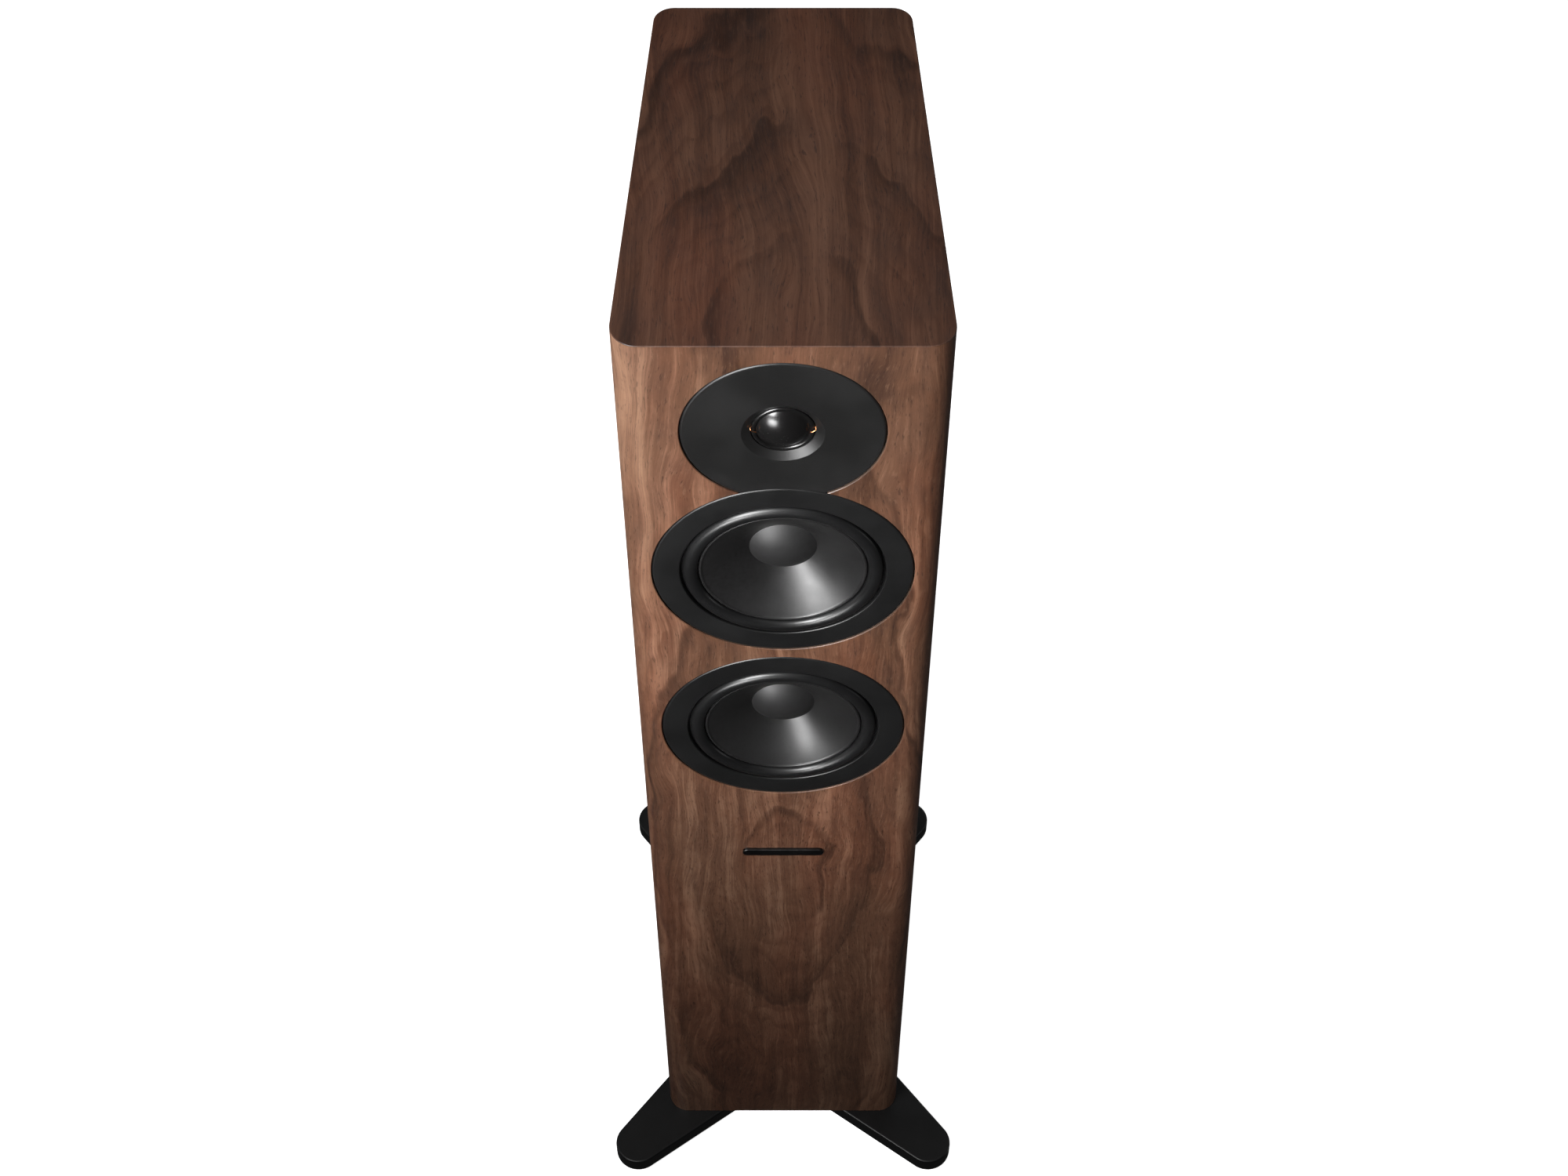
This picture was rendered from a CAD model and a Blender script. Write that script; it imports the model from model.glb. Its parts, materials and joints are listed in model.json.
"""Floorstanding loudspeaker: tapered walnut cabinet, dome tweeter, two cone woofers, rear
port and terminals, and four outrigger feet. Metres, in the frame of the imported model."""
import math

import bmesh
import bpy
from mathutils import Matrix, Vector
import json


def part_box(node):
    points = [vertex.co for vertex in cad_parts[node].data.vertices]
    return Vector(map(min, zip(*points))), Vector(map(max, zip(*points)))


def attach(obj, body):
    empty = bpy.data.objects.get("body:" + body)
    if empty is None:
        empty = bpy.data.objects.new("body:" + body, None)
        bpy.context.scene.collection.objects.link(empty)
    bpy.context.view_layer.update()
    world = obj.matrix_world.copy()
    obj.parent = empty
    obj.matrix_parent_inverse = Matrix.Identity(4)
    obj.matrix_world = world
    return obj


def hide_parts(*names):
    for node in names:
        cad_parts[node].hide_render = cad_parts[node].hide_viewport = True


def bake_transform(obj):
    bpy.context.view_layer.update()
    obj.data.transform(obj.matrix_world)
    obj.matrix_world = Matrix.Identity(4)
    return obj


MM = 0.001
TURN = 2 * math.pi

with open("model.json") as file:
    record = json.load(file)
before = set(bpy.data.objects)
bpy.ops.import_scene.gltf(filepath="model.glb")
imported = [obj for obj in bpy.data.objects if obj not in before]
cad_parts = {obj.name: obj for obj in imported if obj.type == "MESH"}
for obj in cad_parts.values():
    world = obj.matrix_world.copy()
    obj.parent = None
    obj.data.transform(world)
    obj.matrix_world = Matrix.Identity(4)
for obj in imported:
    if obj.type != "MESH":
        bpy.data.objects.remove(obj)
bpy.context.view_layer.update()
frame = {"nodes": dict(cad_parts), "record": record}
nodes = frame["nodes"]


# ---- places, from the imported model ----

def middle(node):
    low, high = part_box(node)
    return (low + high) / 2


wrap_low, wrap_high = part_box("veneer_wrap")
FRONT = wrap_low.y
BACK = wrap_high.y
BASE = wrap_low.z
WRAP_TOP = wrap_high.z
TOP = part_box("top_veneer")[1].z
HALF_FRONT = wrap_high.x
DEPTH = BACK - FRONT
WOOFERS = {side: middle(side + "_trim_ring").z for side in ("upper", "lower")}
TRIM_R = (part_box("upper_trim_ring")[1].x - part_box("upper_trim_ring")[0].x) / 2
PLATE_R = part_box("tweeter_faceplate")[1].x
TWEETER_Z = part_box("tweeter_faceplate")[1].z - PLATE_R
PORT_Z = middle("port_tube").z
TERMINAL = middle("terminal_plate")
FEET = ("front_left", "front_right", "rear_left", "rear_right")

slot_of = {part["node"]: part["material_slot"] for part in frame["record"]["subparts"]}

# Shapes that the boxes don't tell.
HALF_REAR = 75 * MM
FRONT_CORNER = 15 * MM
REAR_CORNER = 12 * MM
REBATE_GAP = 0.6 * MM
VENEER = 0.6 * MM
TRIM_HOLE_R = 59.2 * MM


# ---- mesh tools ----

SAME_POINT = 1e-7
NO_LENGTH = 1e-8


def link_piece(name, mesh, material):
    piece = bpy.data.objects.new(name, mesh)
    bpy.context.scene.collection.objects.link(piece)
    mesh.materials.clear()
    mesh.materials.append(material)
    return piece


def add_piece(name, mesh, material, body="cabinet", stands_for=()):
    """Links a piece, and says which body it rides on and which CAD nodes it stands for."""
    piece = link_piece(name, mesh, material)
    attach(piece, body)
    if stands_for:
        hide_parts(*stands_for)
    return piece


def mesh_from(name, verts, faces, sharp=35, on_axis=False):
    """A smooth-shaded mesh whose edges stay sharp where faces meet at over `sharp` degrees.
    Where the shape closes up on an axis, the faces that vanish there are dissolved."""
    mesh = bpy.data.meshes.new(name)
    mesh.from_pydata([tuple(v) for v in verts], [], faces)
    bm = bmesh.new()
    bm.from_mesh(mesh)
    bmesh.ops.remove_doubles(bm, verts=bm.verts, dist=SAME_POINT)
    if on_axis:
        bmesh.ops.dissolve_degenerate(bm, edges=bm.edges, dist=NO_LENGTH)
    bmesh.ops.recalc_face_normals(bm, faces=bm.faces)
    bm.to_mesh(mesh)
    bm.free()
    shade(mesh, sharp)
    return mesh


def shade(mesh, sharp=35):
    mesh.shade_smooth()
    mesh.set_sharp_from_angle(angle=math.radians(sharp))


def rounded(corners, steps=4):
    """A polyline with its corners rounded: each corner is (x, y) or (x, y, radius)."""
    points = []
    count = len(corners)
    for i, corner in enumerate(corners):
        radius = corner[2] if len(corner) > 2 else 0
        here = Vector(corner[:2])
        if not radius:
            points.append(here)
            continue
        before = Vector(corners[(i - 1) % count][:2]) - here
        after = Vector(corners[(i + 1) % count][:2]) - here
        half = before.angle(after) / 2
        reach = min(radius / math.tan(half), 0.49 * before.length, 0.49 * after.length)
        start, end = here + before.normalized() * reach, here + after.normalized() * reach
        for k in range(steps + 1):
            t = k / steps
            points.append((1 - t) ** 2 * start + 2 * t * (1 - t) * here + t * t * end)
    return points


def lathe(name, profile, centre, facing, steps=160, sharp=35):
    """Revolves a closed profile of (radius, depth) points round an axis along Y. Depth runs
    from centre towards +Y where facing is 1, and towards -Y where it is -1."""
    verts, faces = [], []
    for i in range(steps):
        a = TURN * i / steps
        for r, d in profile:
            verts.append((centre[0] + r * math.cos(a), centre[1] + facing * d,
                          centre[2] + r * math.sin(a)))
    count = len(profile)
    for i in range(steps):
        j = (i + 1) % steps
        for k in range(count):
            m = (k + 1) % count
            faces.append((i * count + k, j * count + k, j * count + m, i * count + m))
    return mesh_from(name, verts, faces, sharp, on_axis=True)


def turned(name, profile, centre, steps=96):
    """Revolves a closed profile of (radius, height) points round an upright axis."""
    mesh = lathe(name, profile, (0, 0, 0), 1, steps)
    mesh.transform(Matrix.Translation(centre) @ Matrix.Rotation(math.radians(90), 4, "X"))
    return mesh


def rim(edge, steps):
    """Insets and heights of a rounded rim, from its face to its side."""
    if not edge:
        return [(0, 0)]
    turns = [math.pi / 2 * k / steps for k in range(steps + 1)]
    return [(edge * (1 - math.sin(a)), edge * (1 - math.cos(a))) for a in turns]


def prism(name, outline, low, high, edges=(0, 0), steps=4, sharp=35):
    """An upright prism of a closed plan outline. Its lower and upper rims are rounded by the
    two edges."""
    verts, faces = [], []
    normals = outline_normals(outline)
    levels = [(inset, low + rise) for inset, rise in rim(edges[0], steps)]
    levels += [(inset, high - rise) for inset, rise in reversed(rim(edges[1], steps))]
    for inset, z in levels:
        for point, normal in zip(outline, normals):
            p = point - normal * inset
            verts.append((p.x, p.y, z))
    count = len(outline)
    for k in range(len(levels) - 1):
        for i in range(count):
            j = (i + 1) % count
            faces.append((k * count + i, k * count + j, (k + 1) * count + j,
                          (k + 1) * count + i))
    faces.append(tuple(reversed(range(count))))
    faces.append(tuple(range((len(levels) - 1) * count, len(levels) * count)))
    return mesh_from(name, verts, faces, sharp)


def outline_normals(outline):
    """Outward normals of a closed counter-clockwise outline, at its points."""
    normals = []
    count = len(outline)
    for i in range(count):
        along = outline[(i + 1) % count] - outline[i - 1]
        normals.append(Vector((along.y, -along.x)).normalized())
    return normals


def arc(centre, radius, start, end, steps):
    """Points on a circle from one angle to another, in degrees."""
    points = []
    for i in range(steps + 1):
        a = math.radians(start + (end - start) * i / steps)
        points.append(Vector((centre[0] + radius * math.cos(a), centre[1] + radius * math.sin(a))))
    return points


def cut(mesh, *tools):
    """Subtracts closed tool meshes from a mesh, and returns the result as a new mesh. Only
    invalid faces are dropped from it: a cut that failed is not repaired or reported."""
    target = bpy.data.objects.new("cut_target", mesh)
    bpy.context.scene.collection.objects.link(target)
    helpers = [target]
    for tool in tools:
        helper = bpy.data.objects.new("cut_tool", tool)
        bpy.context.scene.collection.objects.link(helper)
        helpers.append(helper)
        modifier = target.modifiers.new("cut", "BOOLEAN")
        modifier.operation, modifier.object, modifier.solver = "DIFFERENCE", helper, "EXACT"
    graph = bpy.context.evaluated_depsgraph_get()
    result = bpy.data.meshes.new_from_object(target.evaluated_get(graph))
    for helper in helpers:
        bpy.data.objects.remove(helper)
    result.validate()
    return result


def weight_normals(piece):
    """Lets the large flat faces set the normals along their rims."""
    modifier = piece.modifiers.new("weighted", "WEIGHTED_NORMAL")
    modifier.keep_sharp, modifier.weight = True, 100


def joined(name, meshes):
    bm = bmesh.new()
    for mesh in meshes:
        bm.from_mesh(mesh)
    result = bpy.data.meshes.new(name)
    bm.to_mesh(result)
    bm.free()
    return result


# ---- material tools ----

class Shader:
    """A material and short calls that add nodes to it. Lengths in patterns are millimetres."""

    def __init__(self, name):
        self.material = bpy.data.materials.new(name)
        self.material.use_nodes = True
        self.tree = self.material.node_tree
        self.bsdf = self.tree.nodes["Principled BSDF"]

    def node(self, kind, **settings):
        node = self.tree.nodes.new(kind)
        for key, value in settings.items():
            setattr(node, key, value)
        return node

    def put(self, socket, value):
        if isinstance(value, bpy.types.NodeSocket):
            self.tree.links.new(value, socket)
        elif socket.type == "RGBA":
            socket.default_value = (*value[:3], 1)
        else:
            socket.default_value = value

    def place(self, uv=False):
        """Object or UV coordinates, in millimetres."""
        coordinates = self.node("ShaderNodeTexCoord")
        return self.vector("MULTIPLY", coordinates.outputs["UV" if uv else "Object"],
                           (1000, 1000, 1000))

    def vector(self, operation, a, b=(0, 0, 0)):
        node = self.node("ShaderNodeVectorMath", operation=operation)
        self.put(node.inputs[0], a)
        self.put(node.inputs[1], b)
        return node.outputs[0]

    def math(self, operation, a, b=0.0):
        node = self.node("ShaderNodeMath", operation=operation)
        for socket, value in zip(node.inputs, (a, b)):
            self.put(socket, value)
        return node.outputs[0]

    def parts(self, vector):
        node = self.node("ShaderNodeSeparateXYZ")
        self.put(node.inputs[0], vector)
        return node.outputs

    def combine(self, x=0.0, y=0.0, z=0.0):
        node = self.node("ShaderNodeCombineXYZ")
        for socket, value in zip(node.inputs, (x, y, z)):
            self.put(socket, value)
        return node.outputs[0]

    def noise(self, vector, scale, detail=3, roughness=0.5, stretch=(1, 1, 1), shift=0.0):
        """Noise of about 0 to 1, with features about 1 / scale mm wide."""
        node = self.node("ShaderNodeTexNoise")
        placed = self.vector("MULTIPLY", vector, stretch)
        self.put(node.inputs["Vector"], self.vector("ADD", placed, (shift, shift, shift)))
        self.put(node.inputs["Scale"], scale)
        self.put(node.inputs["Detail"], detail)
        self.put(node.inputs["Roughness"], roughness)
        return node.outputs[0]

    def span(self, value, low, high, to_low=0.0, to_high=1.0):
        """Maps low..high smoothly to to_low..to_high, and holds the ends."""
        node = self.node("ShaderNodeMapRange", clamp=True, interpolation_type="SMOOTHSTEP")
        for socket, number in zip(node.inputs, (value, low, high, to_low, to_high)):
            self.put(socket, number)
        return node.outputs[0]

    def ramp(self, value, *stops):
        """A colour ramp of (position, colour) stops."""
        node = self.node("ShaderNodeValToRGB")
        elements = node.color_ramp.elements
        while len(elements) < len(stops):
            elements.new(0.5)
        for element, (position, colour) in zip(elements, stops):
            element.position, element.color = position, (*colour, 1)
        self.put(node.inputs[0], value)
        return node.outputs[0]

    def mix(self, share, a, b, blend="MIX"):
        node = self.node("ShaderNodeMix", data_type="RGBA", blend_type=blend)
        self.put(node.inputs[0], share)
        self.put(node.inputs[6], a)
        self.put(node.inputs[7], b)
        return node.outputs[2]

    def bump(self, height, distance, strength=1.0):
        """Bump by a height of 0 to 1 that stands for a distance in millimetres."""
        node = self.node("ShaderNodeBump")
        self.put(node.inputs["Height"], height)
        self.put(node.inputs["Distance"], distance * MM)
        self.put(node.inputs["Strength"], strength)
        return node.outputs[0]

    def finish(self, colour, roughness, normal=None, metallic=0.0, **sockets):
        self.put(self.bsdf.inputs["Base Color"], colour)
        self.put(self.bsdf.inputs["Roughness"], roughness)
        self.put(self.bsdf.inputs["Metallic"], metallic)
        if normal:
            self.put(self.bsdf.inputs["Normal"], normal)
        for name, value in sockets.items():
            self.put(self.bsdf.inputs[name.replace("_", " ").title()
                                      .replace("Ior", "IOR")], value)
        return self.material


def walnut(name, figure, pale, mid, dark, seed=0.0):
    """Walnut veneer on UV coordinates: U across the grain and V along it. The figure is
    (across, along, reach, length, spacing, strength): where its rings are centred, how wide
    and over what length they open along the grain, how far apart and how dark they are."""
    s = Shader(name)
    across, along, reach, length, spacing, strength = figure
    at = s.place(uv=True)

    def centred(scale, detail, rough, stretch, shift, size):
        """Noise around 0, up to about half of size."""
        value = s.noise(at, scale, detail, rough, stretch, seed + shift)
        return s.math("MULTIPLY", s.math("SUBTRACT", value, 0.5), size)

    def total(*values):
        result = values[0]
        for value in values[1:]:
            result = s.math("ADD", result, value)
        return result

    # The tree's slow irregularity bends the rings and fibres together.
    u, v, _ = s.parts(at)
    bent = total(u, centred(0.010, 3, 0.5, (1, 0.35, 1), 0, 62),
                 centred(0.045, 2, 0.5, (1, 0.25, 1), 7, 7))
    # Rings of a trunk that leans through the sheet, which cut it in ovals and cathedrals.
    sideways = s.math("SUBTRACT", bent, across)
    rise = s.math("DIVIDE", s.math("SUBTRACT", v, along), length)
    rise = s.math("MULTIPLY", s.math("TANH", rise), reach)
    radius = s.math("SQRT", total(s.math("MULTIPLY", sideways, sideways),
                                  s.math("MULTIPLY", rise, rise)))
    warped = total(s.math("DIVIDE", radius, spacing),
                   centred(0.02, 3, 0.55, (1, 0.4, 1), 13, 1.3))
    ring = s.math("FRACT", warped)
    small_ring = s.math("FRACT", s.math("MULTIPLY", warped, 4.3))
    late = s.math("MULTIPLY", s.span(ring, 0.10, 0.90), s.span(ring, 1.0, 0.92))
    line = s.math("MULTIPLY", s.span(ring, 0.80, 0.94), s.span(ring, 1.0, 0.96))
    thin = s.math("MULTIPLY", s.span(small_ring, 0.35, 0.88), s.span(small_ring, 1.0, 0.9))
    presence = s.span(s.noise(at, 0.016, 3, 0.55, (1, 0.3, 1), seed + 19), 0.33, 0.60)
    # Streaks, fibres and pores run along the grain.
    placed = s.combine(bent, v, 0.0)
    streak = s.noise(placed, 0.16, 4, 0.6, (1, 0.022, 1), seed + 3)
    broad = s.noise(placed, 0.04, 3, 0.5, (1, 0.06, 1), seed + 37)
    fibre = s.noise(placed, 1.1, 4, 0.7, (1, 0.018, 1), seed + 5)
    mottle = s.noise(placed, 0.07, 4, 0.6, (1, 0.5, 1), seed + 23)
    pore_field = s.noise(placed, 1.6, 2, 0.5, (1, 0.09, 1), seed + 11)
    pores = s.span(pore_field, 0.60, 0.70)
    flecks = s.span(s.noise(placed, 0.9, 4, 0.65, (1, 0.13, 1), seed + 29), 0.52, 0.72)
    tone = total(0.40, s.math("MULTIPLY", s.math("SUBTRACT", streak, 0.5), 1.0),
                 s.math("MULTIPLY", s.math("SUBTRACT", broad, 0.5), 0.9),
                 s.math("MULTIPLY", s.math("SUBTRACT", fibre, 0.5), 0.95),
                 s.math("MULTIPLY", s.math("SUBTRACT", mottle, 0.5), 0.45),
                 s.math("MULTIPLY", s.math("MULTIPLY", late, presence), 0.22),
                 s.math("MULTIPLY", s.math("MULTIPLY", thin, presence), 0.14))
    colour = s.ramp(tone, (0.0, pale), (0.45, mid), (1.0, dark))
    warm = s.span(s.noise(at, 0.018, 3, 0.55, (1, 0.3, 1), seed + 41), 0.38, 0.68)
    colour = s.mix(s.math("MULTIPLY", warm, 0.4), colour,
                   s.mix(1.0, colour, (1.22, 0.84, 0.74), "MULTIPLY"))
    lines = s.math("MULTIPLY", s.math("MULTIPLY", line, presence), strength)
    colour = s.mix(lines, colour, [c * 0.4 for c in dark])
    colour = s.mix(s.math("MULTIPLY", flecks, 0.28), colour, pale)
    colour = s.mix(s.math("MULTIPLY", pores, 0.50), colour, [c * 0.3 for c in dark])
    height = s.math("SUBTRACT", s.math("MULTIPLY", fibre, 0.3), s.math("MULTIPLY", pores, 0.8))
    normal = s.bump(height, 0.05, 0.45)
    rough = s.math("ADD", s.span(mottle, 0.3, 0.7, 0.38, 0.50), s.math("MULTIPLY", pores, 0.12))
    return s.finish(colour, rough, normal, specular_ior_level=0.42, coat_weight=0.08,
                    coat_roughness=0.25)


def moulded(name, base, roughness, grain=4.0, depth=0.015, specular=0.5):
    """Moulded or painted black: fine grain, faint clouds of gloss and of tone."""
    s = Shader(name)
    at = s.place()
    fine = s.noise(at, grain, 2, 0.6)
    cloud = s.noise(at, 0.03, 3, 0.55, (1, 1, 1), 5)
    dust = s.span(s.noise(at, 0.9, 3, 0.6, (1, 1, 1), 9), 0.55, 0.8)
    colour = s.mix(s.span(cloud, 0.3, 0.7), [c * 0.86 for c in base], [c * 1.14 for c in base])
    colour = s.mix(s.math("MULTIPLY", dust, 0.25), colour, [c * 1.6 for c in base])
    rough = s.math("ADD", s.span(cloud, 0.3, 0.7, roughness - 0.04, roughness + 0.04),
                   s.math("MULTIPLY", dust, 0.05))
    return s.finish(colour, rough, s.bump(fine, depth), specular_ior_level=specular)


def metal(name, base, roughness, brushed=(1, 1, 1), grain=1.2, depth=0.01):
    """Metal with fine machining marks along one direction, and dull patches."""
    s = Shader(name)
    at = s.place()
    marks = s.noise(at, grain, 4, 0.65, brushed)
    patch = s.noise(at, 0.08, 3, 0.5, (1, 1, 1), 3)
    colour = s.mix(s.span(marks, 0.3, 0.7), [c * 0.88 for c in base], base)
    colour = s.mix(s.math("MULTIPLY", s.span(patch, 0.5, 0.75), 0.3), colour,
                   [c * 0.7 for c in base])
    rough = s.span(patch, 0.3, 0.7, roughness - 0.05, roughness + 0.08)
    return s.finish(colour, rough, s.bump(marks, depth), metallic=1.0)


# ---- the cabinet's skin ----

def plan(inset=0.0):
    """The cabinet's outline seen from above, counter-clockwise, shrunk by inset."""
    front = (HALF_FRONT - FRONT_CORNER, FRONT + FRONT_CORNER)
    rear = (HALF_REAR - REAR_CORNER, BACK - REAR_CORNER)
    side = side_normal()
    r_front, r_rear = FRONT_CORNER - inset, REAR_CORNER - inset
    right = arc(front, r_front, -90, side, 14) + arc(rear, r_rear, side, 90, 12)
    return right + [Vector((-p.x, p.y)) for p in reversed(right)]


def side_normal():
    """The angle in degrees at which the right side faces."""
    step = Vector((HALF_REAR - REAR_CORNER - HALF_FRONT + FRONT_CORNER,
                   DEPTH - REAR_CORNER - FRONT_CORNER))
    turn = math.acos((FRONT_CORNER - REAR_CORNER) / step.length)
    return math.degrees(math.atan2(step.y, step.x) - turn)


def way_round(x, y):
    """How far a point of the skin lies from the middle of the front, along the outline."""
    side = math.radians(side_normal())
    x_front, y_front = HALF_FRONT - FRONT_CORNER, FRONT + FRONT_CORNER
    x_rear, y_rear = HALF_REAR - REAR_CORNER, BACK - REAR_CORNER
    right = abs(x)
    corner = FRONT_CORNER * (math.pi / 2 + side)
    flank = math.hypot(x_rear - x_front, y_rear - y_front)
    along = ((right - x_front) * -math.sin(side) + (y - y_front) * math.cos(side))
    if y < y_front and right <= x_front:
        way = right
    elif along < 0:
        way = x_front + FRONT_CORNER * (math.atan2(y - y_front, right - x_front) + math.pi / 2)
    elif along < flank:
        way = x_front + corner + along
    else:
        turn = math.atan2(y - y_rear, right - x_rear)
        way = x_front + corner + flank + REAR_CORNER * (min(turn, math.pi / 2) - side)
        way += max(0.0, x_rear - right)
    return math.copysign(way, x)


def map_skin(mesh):
    """UV in metres: the way round the cabinet, and the height. The sheet's seam is at the
    back's left edge."""
    layer = mesh.uv_layers.new(name="grain")
    edge = HALF_REAR - REAR_CORNER
    for face in mesh.polygons:
        on_back = face.normal.y > 0.99 and face.center.y > 0
        for i in face.loop_indices:
            p = mesh.vertices[mesh.loops[i].vertex_index].co
            way = way_round(edge, BACK) + edge - p.x if on_back else way_round(p.x, p.y)
            layer.data[i].uv = (way, p.z)


def map_flat(mesh):
    """UV in metres on the top, with the grain from front to back."""
    layer = mesh.uv_layers.new(name="grain")
    for i, loop in enumerate(mesh.loops):
        p = mesh.vertices[loop.vertex_index].co
        layer.data[i].uv = (p.x, p.y)


def rebate(radius, centre, lip=0.35):
    """A cutter for a round opening in the front veneer, with a softened lip."""
    r, c = radius + REBATE_GAP, lip * MM
    profile = [(0, -4 * MM), (r + c + 4 * MM, -4 * MM), (r, c), (r, 6 * MM), (0, 6 * MM)]
    return lathe("cutter", profile, (0, FRONT, centre), 1, 240)


def plate_outline(width, height, corner, steps=10):
    """A rounded rectangle, counter-clockwise, around the origin."""
    x, y = width / 2 - corner, height / 2 - corner
    return (arc((x, -y), corner, -90, 0, steps) + arc((x, y), corner, 0, 90, steps)
            + arc((-x, y), corner, 90, 180, steps) + arc((-x, -y), corner, 180, 270, steps))


def facing_out(x, y, z, back=True):
    """Stands a flat piece up: its +Z then points out of the cabinet's back, or its front."""
    turn = Matrix.Rotation(math.radians(-90 if back else 90), 4, "X")
    return Matrix.Translation((x, y, z)) @ turn


def build_skin(walnut_front, walnut_top):
    outer = prism("veneer_wrap", plan(), BASE, WRAP_TOP, (0.5 * MM, 0))
    inner = prism("cutter", plan(VENEER), BASE - 0.01, WRAP_TOP + 0.01)
    low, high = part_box("terminal_plate")
    plate = plate_outline(high.x - low.x + 2 * REBATE_GAP, high.z - low.z + 2 * REBATE_GAP,
                          8.6 * MM)
    plate = prism("cutter", plate, -0.01, 0.01)
    plate.transform(facing_out(TERMINAL.x, BACK, TERMINAL.z))
    port_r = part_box("port_tube")[1].x + REBATE_GAP
    port = lathe("cutter", [(0, -0.01), (port_r, -0.01), (port_r, 0.01), (0, 0.01)],
                 (0, BACK, PORT_Z), 1, 128)
    mesh = cut(outer, inner, rebate(TRIM_R, WOOFERS["upper"]), rebate(TRIM_R, WOOFERS["lower"]),
               rebate(PLATE_R, TWEETER_Z), port, plate)
    shade(mesh, 30)
    map_skin(mesh)
    skin = add_piece("cabinet_veneer", mesh, walnut_front,
                     stands_for=("veneer_wrap",))
    weight_normals(skin)
    mesh = prism("top", plan(), WRAP_TOP, TOP, (0, 0.5 * MM), steps=5)
    map_flat(mesh)
    top = add_piece("top_sheet", mesh, walnut_top,
                    stands_for=("top_veneer",))
    weight_normals(top)


# ---- drivers ----

def front_lathe(name, profile, z, **options):
    """A round piece on the baffle. Its profile is in millimetres: radius, and depth behind
    the baffle's face."""
    return lathe(name, [(r * MM, d * MM) for r, d in profile], (0, FRONT, z), 1, **options)


def shell(points, thickness):
    """A closed profile from a line of (radius, depth) points, thickened away from them."""
    back = []
    for i, point in enumerate(points):
        before, after = points[max(i - 1, 0)], points[min(i + 1, len(points) - 1)]
        along = (Vector(after) - Vector(before)).normalized()
        normal = Vector((along.y, -along.x))
        if normal.y < 0:
            normal = -normal
        back.append(tuple(Vector(point) + normal * thickness))
    return list(points) + back[::-1]


def cap_line(rim, crown, depth, steps=22):
    """A spherical cap from its crown to its rim: radius and depth in millimetres."""
    height = depth - crown
    ball = (rim * rim + height * height) / (2 * height)
    angle = math.asin(rim / ball)
    return [(ball * math.sin(angle * i / steps),
             crown + ball * (1 - math.cos(angle * i / steps))) for i in range(steps + 1)]


def roll_line(inner, outer, base, height, lip_in, lip_out, steps=26):
    """A half-roll surround between two flat lips."""
    line = [(lip_in, base)]
    middle_r, half = (inner + outer) / 2, (outer - inner) / 2
    for i in range(steps + 1):
        a = math.pi * i / steps
        line.append((middle_r - half * math.cos(a), base - height * max(math.sin(a), 0) ** 0.9))
    return line + [(lip_out, base)]


def flex(piece, moving_body, centre_z, inner, outer):
    """Lets a round piece bend between the cabinet, at its outer radius, and a moving body."""
    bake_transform(piece)


def add_flexing(name, mesh, material, moving_body, centre_z, span, stands_for=()):
    """As add_piece, for a piece that bends between the radii of span, in millimetres."""
    piece = link_piece(name, mesh, material)
    flex(piece, moving_body, centre_z, *span)
    if stands_for:
        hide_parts(*stands_for)
    return piece


def cone_line():
    line = [(48.5, 2.4), (48.1, 1.85), (47.5, 1.65), (46.9, 1.85), (46.7, 2.2)]
    for i in range(1, 31):
        t = i / 30
        line.append((46.7 - 27.8 * t, 2.2 + 17.8 * (0.82 * t + 0.18 * t * t)))
    return line


def build_woofer(side, looks):
    z, body = WOOFERS[side], side + "_cone_assembly"
    hole = TRIM_HOLE_R / MM
    ring = rounded([(hole, 3.1), (75, 3.1), (75, 0.2, 1.3), (hole, 0.2, 1.0)], 6)
    add_piece(side + "_ring", front_lathe(side, ring, z, steps=240), looks["satin_black_plastic"],
              stands_for=(side + "_trim_ring",))
    add_piece(side + "_cone_body", front_lathe(side, shell(cone_line(), 0.9), z, steps=200),
              looks["cone_plastic"], body, (side + "_cone",))
    dome = cap_line(19.6, 13.0, 19.5)
    add_piece(side + "_dust_dome", front_lathe(side, shell(dome, 0.5), z, steps=160),
              looks["dust_dome"], body)
    roll = shell(roll_line(48.9, 57.9, 3.15, 4.4, 46.8, 64.7), 0.8)
    add_flexing(side + "_roll", front_lathe(side, roll, z, steps=200, sharp=50),
                looks["black_rubber"], body, z, (48.0, 58.2),
                (side + "_surround",))
    waves = [(19.2 + 26.8 * i / 80, 30 - 1.2 * math.sin(TURN * 5 * i / 80)) for i in range(81)]
    add_flexing(side + "_damper", front_lathe(side, shell(waves, 0.5), z, sharp=80),
                looks["spider_fabric"], body, z, (20.0, 45.0),
                (side + "_spider",))


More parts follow.
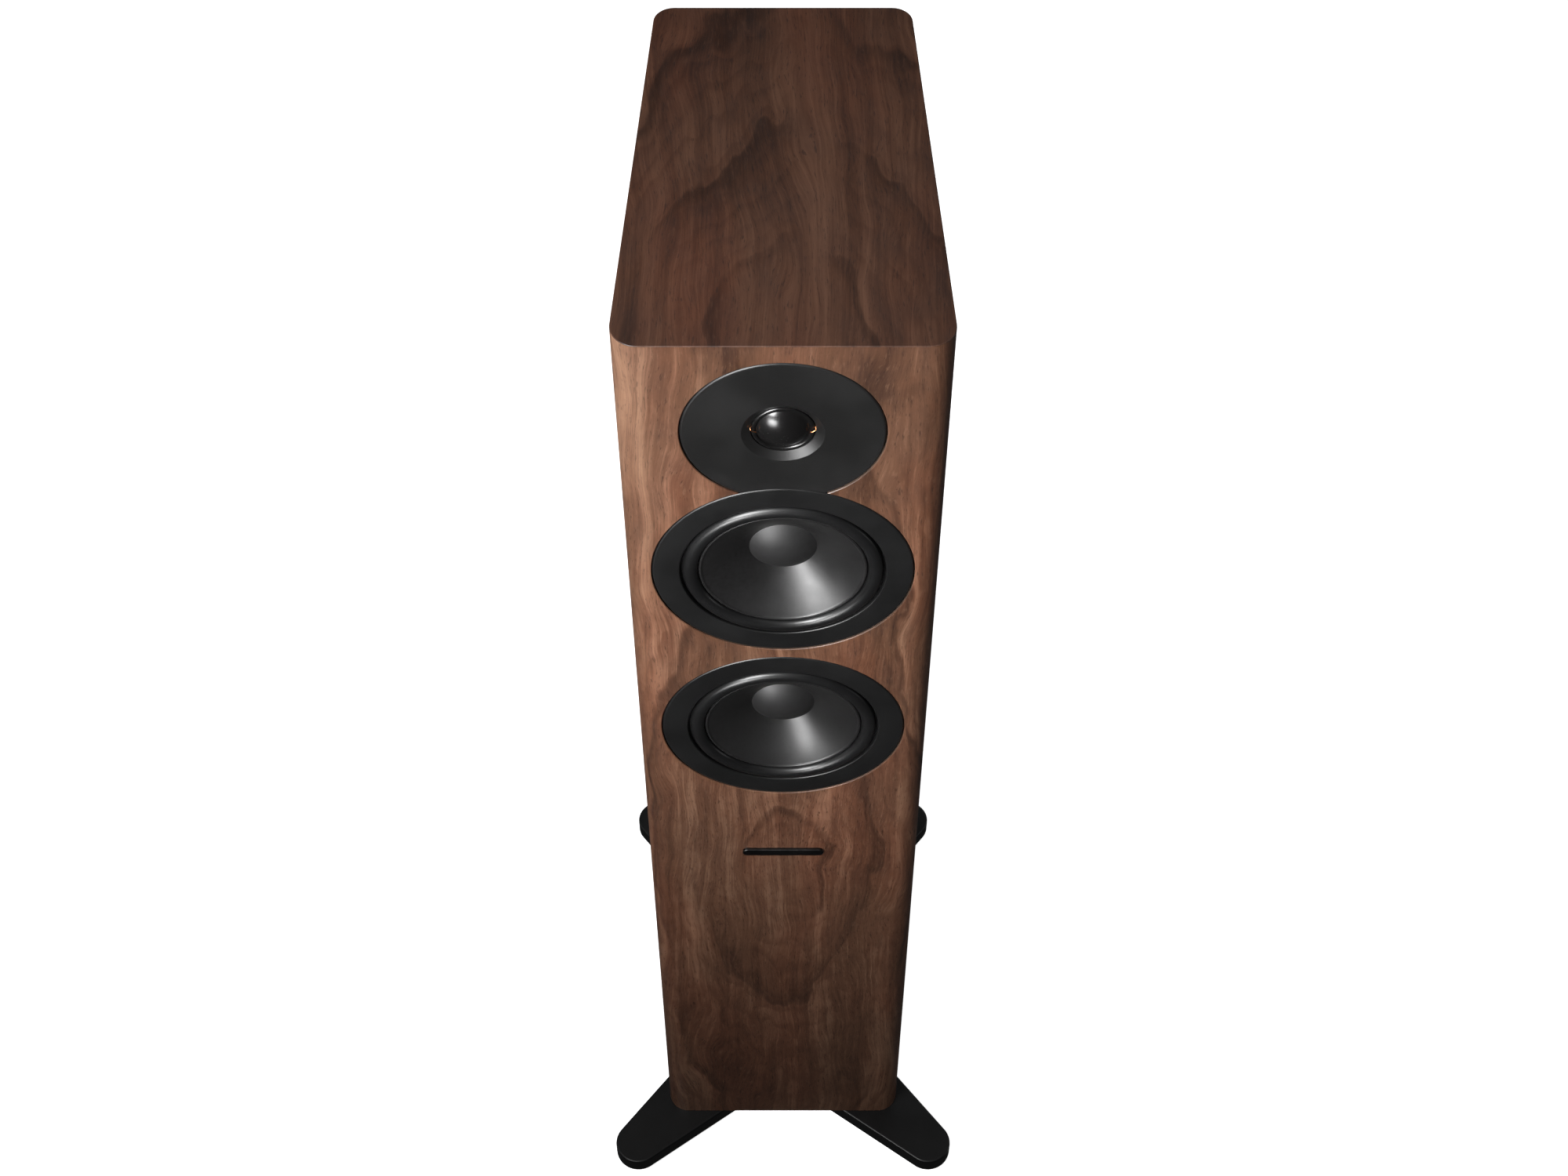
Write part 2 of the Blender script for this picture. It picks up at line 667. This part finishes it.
def build_tweeter(looks):
    z = TWEETER_Z
    profile = rounded([(55.5, 4.0), (55.5, 0.2, 1.5), (22.5, 0.2, 0.9), (17.8, 3.3, 0.3),
                       (17.8, 4.0)], 5)
    plate = front_lathe("plate", profile, z, steps=240)
    bite_r = (TRIM_R + REBATE_GAP) / MM
    bite = [(0, -3), (bite_r + 3, -3), (bite_r, 0.5), (bite_r, 8), (0, 8)]
    plate = cut(plate, front_lathe("bite", bite, WOOFERS["upper"], steps=240))
    shade(plate, 30)
    plate = add_piece("tweeter_plate", plate, looks["gloss_black_plastic"],
                      stands_for=("tweeter_faceplate",))
    weight_normals(plate)
    dome = cap_line(14.1, -1.8, 3.6, 28) + [(14.6, 3.6)]
    add_piece("tweeter_dome_shell", front_lathe("dome", shell(dome, 0.3), z),
              looks["dome_fabric"], "tweeter_dome_assembly",
              ("tweeter_dome",))
    roll = shell(roll_line(14.7, 17.3, 4.02, 1.3, 14.4, 21.0, 14), 0.25)
    add_flexing("tweeter_roll", front_lathe("roll", roll, z, sharp=50), looks["dome_fabric"],
                "tweeter_dome_assembly", z, (14.6, 17.4),
                ("tweeter_surround",))
    leads = []
    for side in (-1, 1):
        line = []
        for i in range(17):
            t = i / 16
            r = (17.3 - 2.6 * t + 0.9 * math.sin(TURN * t)) * MM
            drop = (3.5 - 1.9 * math.sin(math.pi * t) ** 0.7) * MM
            line.append(Vector((side * r, FRONT + drop, z + (2.2 - 4.2 * t) * MM)))
        leads.append(tube_along(line, 0.22 * MM))
    add_flexing("tweeter_leads", joined("leads", leads), looks["copper"],
                "tweeter_dome_assembly", z, (14.6, 17.4))


def tube_along(line, radius, steps=10):
    """A round wire along a list of points, with closed ends."""
    verts, faces = [], []
    for i, point in enumerate(line):
        along = (line[min(i + 1, len(line) - 1)] - line[max(i - 1, 0)]).normalized()
        side = along.cross(Vector((0, 1, 0))).normalized()
        up = along.cross(side)
        for k in range(steps):
            a = TURN * k / steps
            verts.append(point + (side * math.cos(a) + up * math.sin(a)) * radius)
    for i in range(len(line) - 1):
        for k in range(steps):
            m = (k + 1) % steps
            faces.append((i * steps + k, i * steps + m, (i + 1) * steps + m,
                          (i + 1) * steps + k))
    faces.append(tuple(range(steps)))
    faces.append(tuple(reversed(range(len(verts) - steps, len(verts)))))
    return mesh_from("wire", verts, faces, 60)


def build_badge(look):
    low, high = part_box("badge")
    mesh = prism("badge", plate_outline(high.x - low.x, high.z - low.z, 3.3 * MM, 12),
                 0, high.y - low.y, (0, 0.45 * MM), steps=5)
    mesh.transform(facing_out(0, high.y, (low.z + high.z) / 2, back=False))
    add_piece("plain_bar", mesh, look, stands_for=("badge",))


# ---- feet ----

ARM_LENGTH = 88 * MM
ARM_TIP_R = 17.5 * MM
ARM_INNER_R = 29.8 * MM
ARM_ANGLE = 43.5
ARM_SCREWS = (60 * MM, 92 * MM)


def arm_outline():
    spread = math.degrees(math.asin((ARM_INNER_R - ARM_TIP_R) / ARM_LENGTH))
    return (arc((0, 0), ARM_TIP_R, 90 + spread, 270 - spread, 40)
            + arc((ARM_LENGTH, 0), ARM_INNER_R, -90 - spread, 90 + spread, 56))


def foot_place(corner):
    """Where a foot's tip is, and the matrix from an arm along +X to that foot."""
    pad = middle(corner + "_glide_pad")
    across, along = -math.copysign(1, pad.x), -math.copysign(1, pad.y)
    angle = math.degrees(math.atan2(along * math.sin(math.radians(ARM_ANGLE)),
                                    across * math.cos(math.radians(ARM_ANGLE))))
    turn = Matrix.Rotation(math.radians(angle), 4, "Z")
    return pad, Matrix.Translation((pad.x, pad.y, 0)) @ turn


def upright(radius, low, high, x=0.0, steps=48):
    return turned("rod", [(0, low), (radius, low), (radius, high), (0, high)],
                  (x, 0, 0), steps)


def build_foot(corner, looks):
    pad, place = foot_place(corner)
    low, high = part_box(corner + "_foot")
    arm = prism("arm", arm_outline(), low.z, high.z, (0.8 * MM, 1.7 * MM), steps=6)
    cutters = [upright(4.05 * MM, low.z - 0.01, low.z + 12 * MM)]
    for s in ARM_SCREWS:
        cutters.append(upright(3.3 * MM, low.z - 0.01, high.z + 0.01, s))
        cutters.append(upright(5.4 * MM, low.z - 0.01, low.z + 5.5 * MM, s))
    arm = cut(arm, *cutters)
    shade(arm, 30)
    arm.transform(place)
    foot = add_piece(corner + "_arm", arm, looks[slot_of[corner + "_foot"]],
                     stands_for=(corner + "_foot",))
    weight_normals(foot)
    rubber = turned("pad", rounded([(0, 0), (11 * MM, 0, 0.5 * MM), (11 * MM, 2.9 * MM, 0.7 * MM),
                                    (0, 2.9 * MM)], 5), (pad.x, pad.y, 0), 64)
    add_piece(corner + "_pad", rubber, looks["black_rubber"], corner + "_pad_body",
              (corner + "_glide_pad",))
    hexagon = arc((0, 0), 9.5 * MM, 0, 300, 5)
    flange = prism("flange", hexagon, 3.0 * MM, 4.7 * MM, (0.3 * MM, 0.3 * MM), 3)
    stud = joined("stud", [flange, threaded(3.95 * MM, 1.25 * MM, 4.6 * MM, 16 * MM)])
    stud.transform(place)
    add_piece(corner + "_stud", stud, looks["steel"], corner + "_stud_body",
              (corner + "_glide_stud",))


def threaded(radius, pitch, low, high, around=32, per_turn=6):
    """A rod with a helical thread."""
    rows = int((high - low) / pitch * per_turn)
    verts, faces = [], []
    for i in range(rows + 1):
        z = low + (high - low) * i / rows
        fade = min(1, (high - z) / pitch, (z - low) / pitch)
        for k in range(around):
            a = TURN * k / around
            phase = ((z - low) / pitch - k / around) % 1
            depth = 0.55 * pitch * (1 - abs(2 * phase - 1)) * max(fade, 0)
            r = radius - depth
            verts.append((r * math.cos(a), r * math.sin(a), z))
    for i in range(rows):
        for k in range(around):
            m = (k + 1) % around
            faces.append((i * around + k, i * around + m, (i + 1) * around + m,
                          (i + 1) * around + k))
    faces.append(tuple(reversed(range(around))))
    faces.append(tuple(range(rows * around, (rows + 1) * around)))
    return mesh_from("thread", verts, faces, 50)


# ---- rear ----

def back_lathe(name, profile, x, z, **options):
    """A round piece on the back. Its profile is in millimetres: radius, and how far it
    stands out of the back."""
    return lathe(name, [(r * MM, d * MM) for r, d in profile], (x, BACK, z), 1, **options)


def build_port(look):
    flare = [(25 + 6 * (1 - math.cos(math.pi / 2 * i / 16)),
              6 * (math.sin(math.pi / 2 * i / 16) - 1)) for i in range(17)]
    flange = [(37.4, 0), (37.8, -0.15), (38, -0.6), (38, -3)]
    profile = flare + flange + [(28, -3), (28, -130), (27.4, -130.6), (25.6, -130.6), (25, -130)]
    add_piece("port", back_lathe("port", profile, 0, PORT_Z, steps=160), look,
              stands_for=("port_tube",))


def build_terminals(looks):
    x0, z0 = TERMINAL.x, TERMINAL.z
    low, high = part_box("terminal_plate")
    outline = plate_outline(high.x - low.x, high.z - low.z, 8 * MM)
    plate = prism("plate", outline, -3 * MM, 0, (0, 0.5 * MM), 4)
    holes = [upright(3.3 * MM, -0.01, 0.01, x) for x in (-18 * MM, 18 * MM)]
    for x in (-35, 35):
        for y in (-23, 23):
            hole = upright(1.4 * MM, -0.01, 0.01, x * MM)
            hole.transform(Matrix.Translation((0, y * MM, 0)))
            holes.append(hole)
    plate = cut(plate, *holes)
    shade(plate, 30)
    plate.transform(facing_out(x0, BACK, z0))
    plate = add_piece("terminal_panel", plate, looks["satin_black_plastic"],
                      stands_for=("terminal_plate",))
    weight_normals(plate)
    for colour, x in (("red", -18 * MM), ("black", 18 * MM)):
        build_post_parts(colour, x0 + x, z0, looks)


CAP_R = 8
CAP_GROOVES = 18
POINTS_PER_GROOVE = 12
GROOVE_DEPTH = 0.75
GROOVE_HALF = 0.36


def build_post_parts(colour, x, z, looks):
    """A post's pressure ring and its grooved cap. The cap is wrong: cut() leaves a broken
    mesh, probably because the rounded rim folds over itself in the grooves."""
    look = looks[slot_of[colour + "_post_cap"]]
    ring = rounded([(4.25, 2.3), (8, 2.3, 0.4), (8, 5.3, 0.4), (4.25, 5.3, 0.2)], 4)
    add_piece(colour + "_washer", back_lathe("ring", ring, x, z, steps=72), look,
              colour + "_post_ring_body",
              (colour + "_post_ring",))
    outline, count = [], CAP_GROOVES * POINTS_PER_GROOVE
    for i in range(count):
        a = TURN * i / count
        phase = abs((i % POINTS_PER_GROOVE) / POINTS_PER_GROOVE - 0.5) * 2
        r = CAP_R
        if phase > 1 - GROOVE_HALF:
            r -= GROOVE_DEPTH * max(0, 1 - (1 - phase) / GROOVE_HALF) ** 0.5
        outline.append(Vector((r * MM * math.cos(a), r * MM * math.sin(a))))
    cap = prism("cap", outline, 5.6 * MM, 20.5 * MM, (0.4 * MM, 0.9 * MM), 4)
    cap = cut(cap, upright(4.1 * MM, 0, 0.03))
    shade(cap, 40)
    cap.transform(facing_out(x, BACK, z))
    add_piece(colour + "_cap", cap, look, colour + "_post_cap_body",
              (colour + "_post_cap",))


# ---- the materials of every slot ----

def fibreboard():
    """Pressed wood fibre, stained dark where it shows in the rebates and underneath."""
    s = Shader("fibreboard")
    at = s.place()
    fleck = s.noise(at, 1.6, 4, 0.7, (1, 1, 0.5))
    cloud = s.noise(at, 0.05, 3)
    base = s.ramp(fleck, (0.3, (0.030, 0.020, 0.014)), (0.7, (0.075, 0.050, 0.035)))
    colour = s.mix(s.span(cloud, 0.35, 0.7, 0, 0.4), base, (0.03, 0.02, 0.015))
    return s.finish(colour, 0.85, s.bump(fleck, 0.05), specular_ior_level=0.25)


def plywood():
    """Thin plies that show as bands through the thickness, with a grain along X."""
    s = Shader("plywood")
    at = s.place()
    _, y, z = s.parts(at)
    band = s.math("FRACT", s.math("DIVIDE", s.math("ADD", z, y), 3.0))
    grain = s.noise(at, 0.9, 4, 0.6, (0.05, 1, 1))
    face = s.ramp(grain, (0.3, (0.42, 0.28, 0.16)), (0.7, (0.56, 0.41, 0.26)))
    colour = s.mix(s.span(band, 0.44, 0.5, 0, 0.45), face, (0.25, 0.15, 0.08))
    return s.finish(colour, 0.6, s.bump(grain, 0.04))


def woven(name, base, scale, roughness=0.8, depth=0.02):
    """Resined cloth: two crossing sets of threads."""
    s = Shader(name)
    at = s.place()
    x, _, z = s.parts(at)
    warp = s.math("SINE", s.math("MULTIPLY", x, TURN * scale))
    weft = s.math("SINE", s.math("MULTIPLY", z, TURN * scale))
    weave = s.math("MULTIPLY", s.math("ADD", s.math("MULTIPLY", warp, weft), 1), 0.5)
    cloud = s.noise(at, 0.25, 3)
    colour = s.mix(s.math("MULTIPLY", weave, 0.4), base, [c * 0.55 for c in base])
    colour = s.mix(s.span(cloud, 0.4, 0.7, 0, 0.3), colour, [c * 1.5 for c in base])
    rough = s.span(cloud, 0.3, 0.7, roughness - 0.05, roughness + 0.05)
    return s.finish(colour, rough, s.bump(weave, depth, 0.6))


def fleece():
    s = Shader("wadding")
    at = s.place()
    tufts = s.noise(at, 0.12, 5, 0.7)
    hairs = s.noise(at, 1.5, 3, 0.7, (1, 0.3, 0.6))
    colour = s.ramp(s.math("MULTIPLY", s.math("ADD", tufts, hairs), 0.5),
                    (0.3, (0.55, 0.54, 0.50)), (0.7, (0.80, 0.79, 0.76)))
    return s.finish(colour, 0.95, s.bump(tufts, 2.0), sheen_weight=0.4)


def windings():
    """Enamelled wire, wound in close turns."""
    s = Shader("copper")
    at = s.place()
    _, y, _ = s.parts(at)
    turns = s.math("SINE", s.math("MULTIPLY", y, TURN * 2.2))
    patch = s.noise(at, 0.15, 3)
    colour = s.ramp(patch, (0.3, (0.62, 0.24, 0.10)), (0.7, (0.80, 0.36, 0.17)))
    return s.finish(colour, s.span(patch, 0.3, 0.7, 0.22, 0.36), s.bump(turns, 0.05, 0.5),
                    metallic=1.0)


def speckled(name, base, spot, scale, roughness, depth, share=0.5):
    """A base tone with specks of another: ferrite, cement, film."""
    s = Shader(name)
    at = s.place()
    grains = s.noise(at, scale, 4, 0.7)
    cloud = s.noise(at, 0.06, 3)
    colour = s.mix(s.span(grains, 0.5, 0.68, 0, share), base, spot)
    colour = s.mix(s.span(cloud, 0.4, 0.7, 0, 0.25), colour, [c * 0.7 for c in base])
    rough = s.span(cloud, 0.3, 0.7, roughness - 0.06, roughness + 0.06)
    return s.finish(colour, rough, s.bump(grains, depth))


def circuit():
    """A lacquered board with broad copper tracks under the lacquer."""
    s = Shader("circuit_board")
    at = s.place()
    tracks = s.span(s.noise(at, 0.05, 1, 0.3), 0.52, 0.55)
    weave = s.noise(at, 2.0, 2, 0.6)
    colour = s.mix(tracks, (0.012, 0.075, 0.030), (0.035, 0.16, 0.06))
    colour = s.mix(s.math("MULTIPLY", weave, 0.2), colour, (0.01, 0.03, 0.015))
    return s.finish(colour, 0.3, s.bump(tracks, 0.06))


def cone_look(name, roughness):
    """Damped polypropylene: near black, faintly mottled, with a fine grain."""
    s = Shader(name)
    at = s.place()
    mottle = s.noise(at, 0.5, 4, 0.65)
    cloud = s.noise(at, 0.06, 3, 0.5, (1, 1, 1), 4)
    colour = s.ramp(mottle, (0.3, (0.0055, 0.0053, 0.0053)), (0.7, (0.0095, 0.0092, 0.0095)))
    rough = s.span(cloud, 0.3, 0.7, roughness - 0.03, roughness + 0.03)
    fine = s.noise(at, 3.5, 2, 0.6)
    return s.finish(colour, rough, s.bump(fine, 0.012, 0.5), specular_ior_level=0.55)


def make_looks(walnut_front):
    black = (0.0045, 0.0045, 0.0046)
    return {
        "fibreboard": fibreboard(), "plywood": plywood(), "wadding": fleece(),
        "satin_black_plastic": moulded("satin_black_plastic", black, 0.37, 1.8, 0.035),
        "gloss_black_plastic": moulded("textured_black_plate", (0.0060, 0.0058, 0.0058), 0.40,
                                       1.6, 0.060),
        "black_metal": metal("black_metal", (0.05, 0.049, 0.048), 0.34, (0.04, 1, 1)),
        "black_rubber": moulded("black_rubber", (0.0042, 0.0042, 0.0044), 0.33, 2.5, 0.018),
        "cone_plastic": cone_look("cone_plastic", 0.36),
        "dust_dome": cone_look("dust_dome", 0.50),
        "dome_fabric": moulded("coated_dome_fabric", (0.0042, 0.0040, 0.0040), 0.24, 2.5, 0.002),
        "spider_fabric": woven("spider_fabric", (0.55, 0.36, 0.12), 1.2),
        "copper": windings(),
        "ferrite": speckled("ferrite", (0.035, 0.034, 0.035), (0.07, 0.07, 0.075), 1.2, 0.6,
                            0.05),
        "steel": metal("steel", (0.62, 0.61, 0.60), 0.28, (1, 1, 0.2)),
        "black_steel": metal("black_steel", (0.035, 0.035, 0.036), 0.38),
        "terminal_gold": metal("terminal_gold", (0.83, 0.60, 0.26), 0.2, (1, 0.1, 1)),
        "circuit_board": circuit(),
        "white_nylon": speckled("white_nylon", (0.78, 0.77, 0.73), (0.85, 0.84, 0.81), 1.0,
                                0.42, 0.02),
        "capacitor_film": speckled("capacitor_film", (0.62, 0.40, 0.06), (0.75, 0.52, 0.12),
                                   0.6, 0.3, 0.03),
        "cement": speckled("cement", (0.62, 0.61, 0.58), (0.45, 0.44, 0.42), 1.5, 0.85, 0.1),
        "wire_insulation": moulded("wire_insulation", (0.30, 0.02, 0.02), 0.38, 2.0, 0.02),
        "red_plastic": moulded("red_plastic", (0.42, 0.012, 0.012), 0.30, 3.0, 0.01),
        "cast_aluminium_black": moulded("cast_aluminium_black", (0.0035, 0.0035, 0.0037),
                                        0.40, 1.6, 0.03, 0.35),
        "walnut_veneer": walnut_front,
    }


def paint_nodes(looks):
    for name, node in nodes.items():
        look = looks[slot_of[name]]
        node.data.materials.clear()
        node.data.materials.append(look)
        shade(node.data, 32)


# ---- the stage ----

# The light's strengths: the world's and the floor's are factors, the others watts.
WORLD_LIGHT = 0.035
OVERHEAD_POWER = 19
KEY_POWER = 7.4
STRIP_POWER = 1.25
BACK_POWER = 26
SIDE_POWER = 8
FLOOR_GLOW = 0.9

def build_floor():
    """A pale light table that sweeps up all round. It throws no light on the loudspeaker."""
    s = Shader("pale_floor")
    at = s.place()
    cloud = s.noise(at, 0.004, 3)
    colour = s.mix(s.span(cloud, 0.3, 0.7), (0.86, 0.86, 0.86), (0.89, 0.89, 0.885))
    s.finish(colour, 0.7, s.bump(s.noise(at, 0.8, 2), 0.02), specular_ior_level=0.2,
             emission_strength=FLOOR_GLOW)
    s.put(s.bsdf.inputs["Emission Color"], (1, 1, 1))
    sweep = rounded([(0, 0), (9, 0, 3), (9, 9), (9.05, 9), (9.05, -0.05), (0, -0.05)], 16)
    mesh = turned("floor", sweep, (0, 0, 0), 96)
    mesh.materials.append(s.material)
    floor = bpy.data.objects.new("floor", mesh)
    bpy.context.scene.collection.objects.link(floor)
    floor.visible_glossy = floor.visible_diffuse = floor.visible_shadow = False


def area_light(name, place, target, size, power, spread=180):
    data = bpy.data.lights.new(name, "AREA")
    data.shape, data.size, data.size_y = "RECTANGLE", size[0], size[1]
    data.energy, data.spread = power, math.radians(spread)
    light = bpy.data.objects.new(name, data)
    light.location = place
    light.rotation_euler = (Vector(target) - Vector(place)).to_track_quat("-Z", "Y").to_euler()
    bpy.context.scene.collection.objects.link(light)


def build_lights():
    world = bpy.data.worlds.new("studio")
    bpy.context.scene.world = world
    world.use_nodes = True
    background = world.node_tree.nodes["Background"]
    background.inputs["Color"].default_value = (1.0, 1.0, 1.0, 1)
    background.inputs["Strength"].default_value = WORLD_LIGHT
    area_light("overhead", (0, -0.6, 3.4), (0, -0.6, 0), (4.0, 4.0), OVERHEAD_POWER)
    area_light("key", (-0.60, -0.85, 1.42), (0, FRONT, 0.90), (0.5, 0.5), KEY_POWER, 80)
    area_light("cone_strip", (-0.62, -1.25, 0.74), (0, FRONT, 0.70), (0.55, 0.45), STRIP_POWER,
               40)
    area_light("back_fill", (0.2, 2.6, 0.50), (0, BACK, 0.50), (2.6, 0.8), BACK_POWER)
    for side in (-1, 1):
        area_light("side_fill", (2.4 * side, 0.3, 0.5), (0, 0.3, 0.5), (2.0, 0.8), SIDE_POWER)


CAMERA_PLACE = (0.0, -0.98135, 1.84859)
CAMERA_PITCH = 51.14
CAMERA_LENS = 56.656
CAMERA_SHIFT = (0.0006, -0.05)


def build_camera():
    data = bpy.data.cameras.new("camera")
    data.lens, data.sensor_width = CAMERA_LENS, 36
    data.shift_x, data.shift_y = CAMERA_SHIFT
    data.clip_start, data.clip_end = 0.05, 60
    camera = bpy.data.objects.new("camera", data)
    camera.location = CAMERA_PLACE
    camera.rotation_euler = (math.radians(90 - CAMERA_PITCH), 0, 0)
    bpy.context.scene.collection.objects.link(camera)
    bpy.context.scene.camera = camera


# Across, along, reach, length, spacing (mm) and strength of the rings, as in walnut().
FRONT_FIGURE = (2.0, 395.0, 90.0, 190.0, 34.0, 0.40)
TOP_FIGURE = (6.0, -128.0, 200.0, 330.0, 46.0, 0.55)
# Pale, middle and dark wood.
FRONT_TONES = ((0.190, 0.107, 0.067), (0.085, 0.0395, 0.0222), (0.030, 0.0122, 0.0064))
TOP_TONES = ((0.086, 0.042, 0.026), (0.048, 0.0215, 0.0130), (0.019, 0.0085, 0.0058))
TOP_SEED = 50


def main():
    front = walnut("walnut_front", FRONT_FIGURE, *FRONT_TONES)
    top = walnut("walnut_top", TOP_FIGURE, *TOP_TONES, TOP_SEED)
    looks = make_looks(front)
    paint_nodes(looks)
    build_skin(front, top)
    for side in ("upper", "lower"):
        build_woofer(side, looks)
    build_tweeter(looks)
    build_badge(looks["black_metal"])
    for corner in FEET:
        build_foot(corner, looks)
    build_port(looks[slot_of["port_tube"]])
    build_terminals(looks)
    build_floor()
    build_lights()
    build_camera()
    bpy.context.scene.view_settings.view_transform = "Standard"


main()
